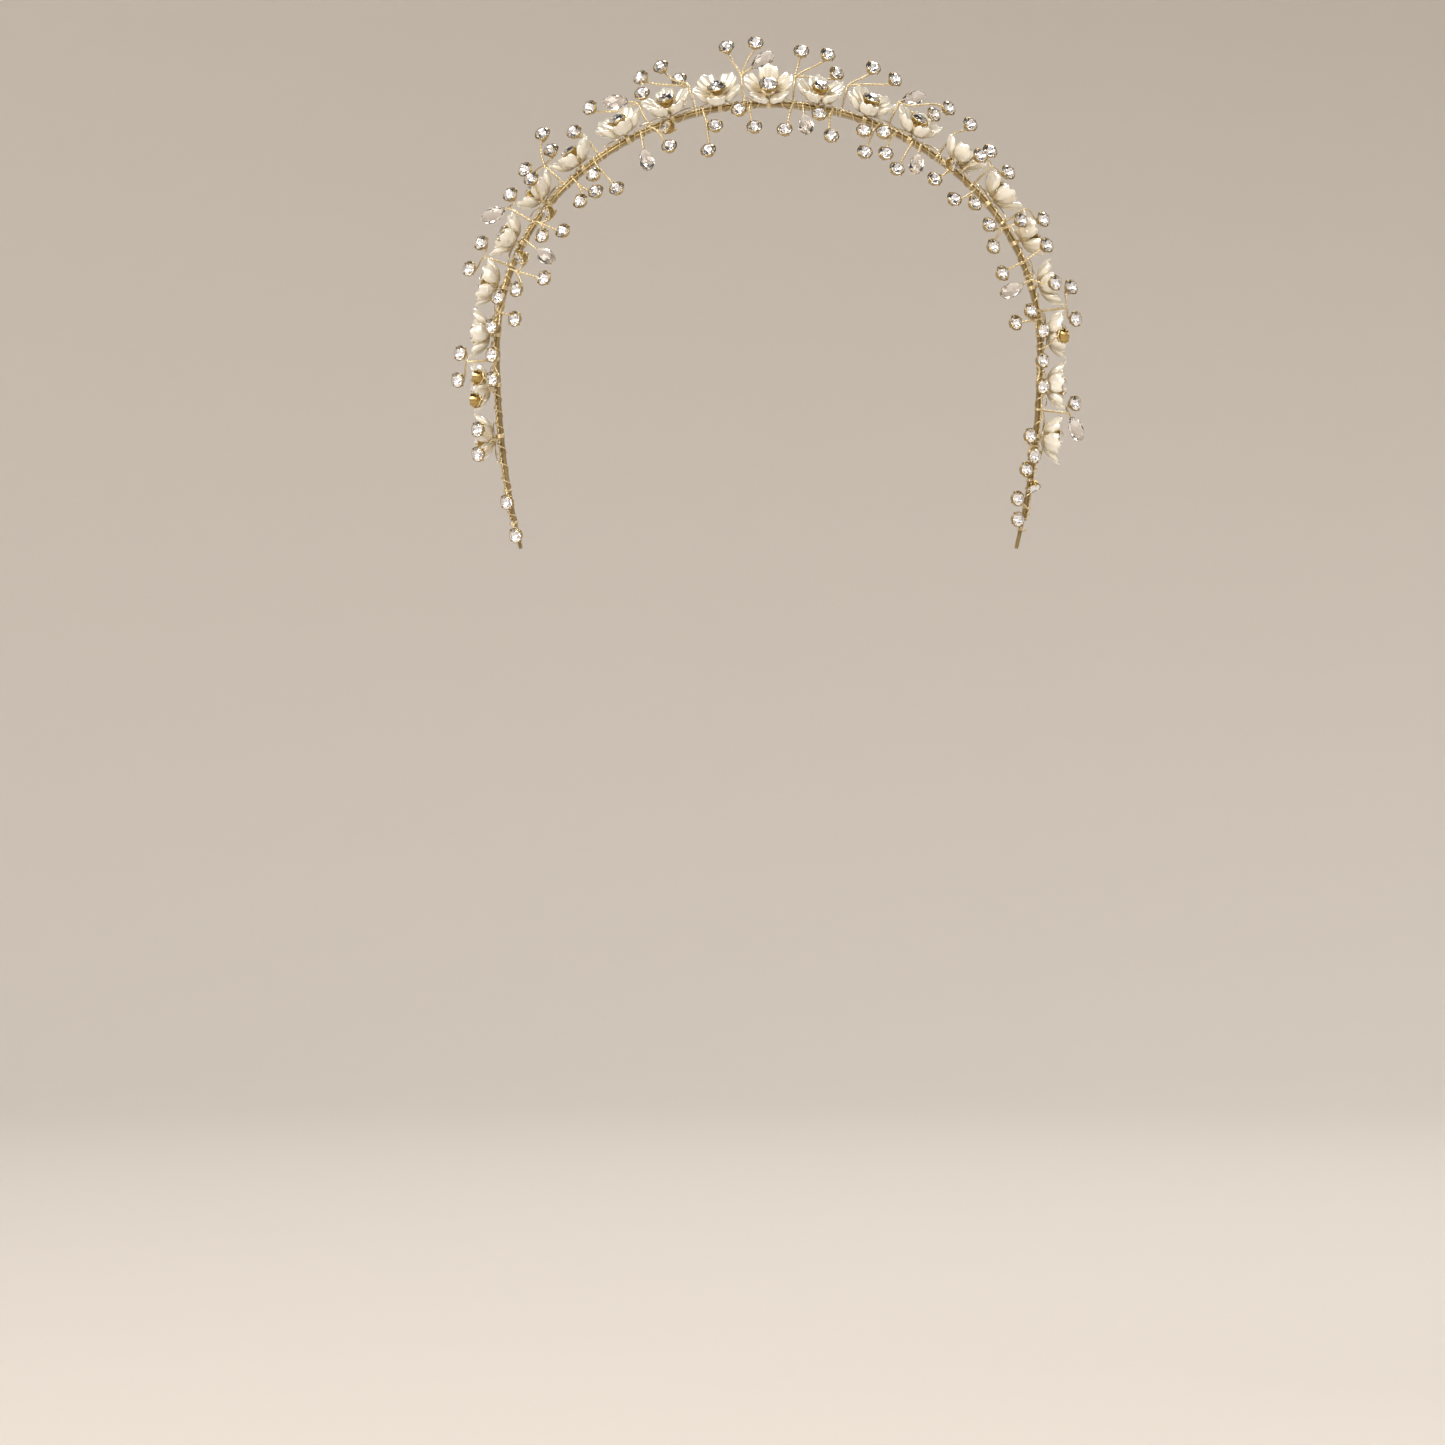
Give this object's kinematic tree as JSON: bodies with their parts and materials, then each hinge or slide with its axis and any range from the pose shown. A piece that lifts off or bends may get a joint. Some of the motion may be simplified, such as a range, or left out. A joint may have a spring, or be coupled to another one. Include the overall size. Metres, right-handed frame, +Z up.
{
  "type": "bridal tiara",
  "caption": "Springy gold-tone hairband with a row of pearly cupped flowers and wired sprigs of foil-backed crystals and glass drops.",
  "frame": {"origin": "middle of the head opening, where the two arms are widest apart, in the band's middle plane", "axes": "+X towards the right arm as seen from the front, -Y forwards, +Z up through the crown"},
  "size_m": [0.1845, 0.024, 0.1491],
  "materials": {
    "gold_band": "light champagne gold plate on a flat spring band, softly polished",
    "gold_wire": "light champagne gold plated wire, bright",
    "fine_wire": "fine light gold craft wire, bright, twisted or wound",
    "claw_cup": "pressed claw cup with a deeper gold plate",
    "foiled_crystal": "faceted clear glass with a silver foil back",
    "glass_drop": "clear faceted glass",
    "pearl_petal": "moulded ivory acrylic with a pearl coat"
  },
  "bodies": {
    "crown": {"crown_band": "gold_band", "crown_bindings": "fine_wire", "crown_drops": "glass_drop", "crown_flower_crystals": "foiled_crystal", "crown_flower_cups": "claw_cup", "crown_flower_ties": "fine_wire", "crown_sprig_crystals": "foiled_crystal", "crown_sprig_cups": "claw_cup", "crown_stems": "fine_wire", "crown_vine_wires": "gold_wire", "flower_centre": "pearl_petal", "flower_left_1": "pearl_petal", "flower_left_2": "pearl_petal", "flower_left_3": "pearl_petal", "flower_right_1": "pearl_petal", "flower_right_2": "pearl_petal", "flower_right_3": "pearl_petal"},
    "left_arm": {"flower_left_10": "pearl_petal", "flower_left_4": "pearl_petal", "flower_left_5": "pearl_petal", "flower_left_6": "pearl_petal", "flower_left_7": "pearl_petal", "flower_left_8": "pearl_petal", "flower_left_9": "pearl_petal", "left_band": "gold_band", "left_bindings": "fine_wire", "left_drops": "glass_drop", "left_flower_crystals": "foiled_crystal", "left_flower_cups": "claw_cup", "left_flower_ties": "fine_wire", "left_sprig_crystals": "foiled_crystal", "left_sprig_cups": "claw_cup", "left_stems": "fine_wire", "left_vine_wires": "gold_wire"},
    "right_arm": {"flower_right_10": "pearl_petal", "flower_right_4": "pearl_petal", "flower_right_5": "pearl_petal", "flower_right_6": "pearl_petal", "flower_right_7": "pearl_petal", "flower_right_8": "pearl_petal", "flower_right_9": "pearl_petal", "right_band": "gold_band", "right_bindings": "fine_wire", "right_drops": "glass_drop", "right_flower_crystals": "foiled_crystal", "right_flower_cups": "claw_cup", "right_flower_ties": "fine_wire", "right_sprig_crystals": "foiled_crystal", "right_sprig_cups": "claw_cup", "right_stems": "fine_wire", "right_vine_wires": "gold_wire"}
  },
  "joints": [
    {"name": "left_arm_flex", "type": "hinge", "parent": "crown", "child": "left_arm", "pos_m": [-0.04698, 0, 0.05643], "axis": [0, 1, 0], "range_deg": [-3, 8], "stiffness_Nm_per_rad": 2},
    {"name": "right_arm_flex", "type": "hinge", "parent": "crown", "child": "right_arm", "pos_m": [0.04698, 0, 0.05643], "axis": [0, -1, 0], "range_deg": [-3, 8], "stiffness_Nm_per_rad": 2}
  ]
}
